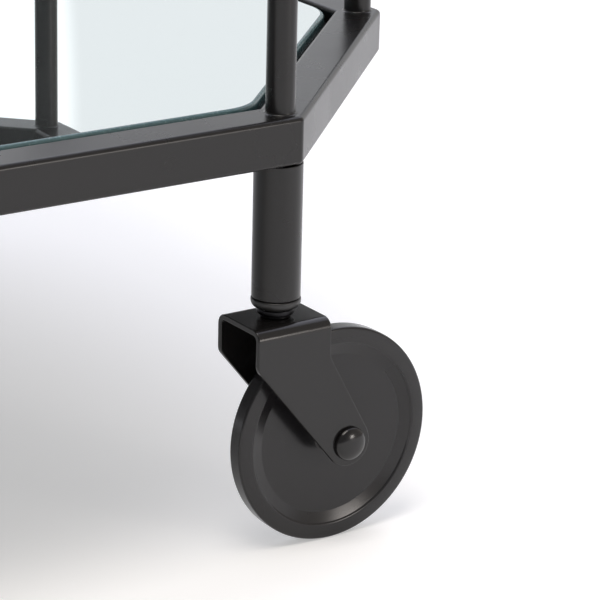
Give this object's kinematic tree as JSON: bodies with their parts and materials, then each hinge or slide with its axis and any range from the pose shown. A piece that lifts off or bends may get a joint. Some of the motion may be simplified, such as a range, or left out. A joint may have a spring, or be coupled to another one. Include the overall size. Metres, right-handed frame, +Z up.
{
  "type": "bar cart",
  "caption": "Octagonal two-shelf bar cart of square tube with glass shelves, guard rails, round posts and swivel casters.",
  "frame": {"origin": "centre of the footprint, on the floor under the wheels", "axes": "+X along the length, towards the end the casters trail to; +Y from the front side to the rear side; +Z up"},
  "size_m": [0.76, 0.4594, 0.7997],
  "materials": {
    "frame_powder_coat": "satin charcoal powder coat",
    "caster_enamel": "semi-gloss black enamel",
    "ferrule_plastic": "moulded black nylon",
    "wheel_plastic": "moulded dark grey plastic",
    "stem_steel": "black zinc plated steel",
    "mirror": "silvered glass with a ground edge",
    "shelf_glass": "clear tempered glass with a ground edge"
  },
  "bodies": {
    "cart": {"lower_frame_front_right_corner": "frame_powder_coat", "lower_frame_right": "frame_powder_coat", "lower_frame_rear_right_corner": "frame_powder_coat", "lower_frame_rear": "frame_powder_coat", "lower_frame_rear_left_corner": "frame_powder_coat", "lower_frame_left": "frame_powder_coat", "lower_frame_front_left_corner": "frame_powder_coat", "lower_frame_front": "frame_powder_coat", "upper_frame_front_right_corner": "frame_powder_coat", "upper_frame_right": "frame_powder_coat", "upper_frame_rear_right_corner": "frame_powder_coat", "upper_frame_rear": "frame_powder_coat", "upper_frame_rear_left_corner": "frame_powder_coat", "upper_frame_left": "frame_powder_coat", "upper_frame_front_left_corner": "frame_powder_coat", "upper_frame_front": "frame_powder_coat", "lower_mirror_shelf": "mirror", "lower_shelf_ledge": "frame_powder_coat", "lower_guard_rail": "frame_powder_coat", "upper_glass_shelf": "shelf_glass", "upper_shelf_ledge": "frame_powder_coat", "upper_guard_rail": "frame_powder_coat", "post_front_right": "frame_powder_coat", "post_right_front": "frame_powder_coat", "post_right_rear": "frame_powder_coat", "post_rear_right": "frame_powder_coat", "post_rear_left": "frame_powder_coat", "post_left_rear": "frame_powder_coat", "post_left_front": "frame_powder_coat", "post_front_left": "frame_powder_coat", "front_right_leg": "frame_powder_coat", "front_right_leg_ferrule": "ferrule_plastic", "rear_right_leg": "frame_powder_coat", "rear_right_leg_ferrule": "ferrule_plastic", "rear_left_leg": "frame_powder_coat", "rear_left_leg_ferrule": "ferrule_plastic", "front_left_leg": "frame_powder_coat", "front_left_leg_ferrule": "ferrule_plastic"},
    "front_right_caster": {"front_right_caster_stem": "stem_steel", "front_right_caster_grip_ring": "stem_steel", "front_right_caster_fork": "caster_enamel", "front_right_caster_axle": "caster_enamel"},
    "front_right_wheel": {"front_right_caster_wheel": "wheel_plastic"},
    "rear_right_caster": {"rear_right_caster_stem": "stem_steel", "rear_right_caster_grip_ring": "stem_steel", "rear_right_caster_fork": "caster_enamel", "rear_right_caster_axle": "caster_enamel"},
    "rear_right_wheel": {"rear_right_caster_wheel": "wheel_plastic"},
    "rear_left_caster": {"rear_left_caster_stem": "stem_steel", "rear_left_caster_grip_ring": "stem_steel", "rear_left_caster_fork": "caster_enamel", "rear_left_caster_axle": "caster_enamel"},
    "rear_left_wheel": {"rear_left_caster_wheel": "wheel_plastic"},
    "front_left_caster": {"front_left_caster_stem": "stem_steel", "front_left_caster_grip_ring": "stem_steel", "front_left_caster_fork": "caster_enamel", "front_left_caster_axle": "caster_enamel"},
    "front_left_wheel": {"front_left_caster_wheel": "wheel_plastic"}
  },
  "joints": [
    {"name": "front_right_swivel", "type": "hinge", "parent": "cart", "child": "front_right_caster", "pos_m": [0.27146, -0.21395, 0.0829], "axis": [0, 0, 1], "continuous": true},
    {"name": "front_right_wheel_spin", "type": "hinge", "parent": "front_right_caster", "child": "front_right_wheel", "pos_m": [0.29376, -0.21395, 0.0375], "axis": [0, 1, 0], "continuous": true},
    {"name": "rear_right_swivel", "type": "hinge", "parent": "cart", "child": "rear_right_caster", "pos_m": [0.27146, 0.21395, 0.0829], "axis": [0, 0, 1], "continuous": true},
    {"name": "rear_right_wheel_spin", "type": "hinge", "parent": "rear_right_caster", "child": "rear_right_wheel", "pos_m": [0.29376, 0.21395, 0.0375], "axis": [0, 1, 0], "continuous": true},
    {"name": "rear_left_swivel", "type": "hinge", "parent": "cart", "child": "rear_left_caster", "pos_m": [-0.27146, 0.21395, 0.0829], "axis": [0, 0, 1], "continuous": true},
    {"name": "rear_left_wheel_spin", "type": "hinge", "parent": "rear_left_caster", "child": "rear_left_wheel", "pos_m": [-0.24916, 0.21395, 0.0375], "axis": [0, 1, 0], "continuous": true},
    {"name": "front_left_swivel", "type": "hinge", "parent": "cart", "child": "front_left_caster", "pos_m": [-0.27146, -0.21395, 0.0829], "axis": [0, 0, 1], "continuous": true},
    {"name": "front_left_wheel_spin", "type": "hinge", "parent": "front_left_caster", "child": "front_left_wheel", "pos_m": [-0.24916, -0.21395, 0.0375], "axis": [0, 1, 0], "continuous": true}
  ]
}
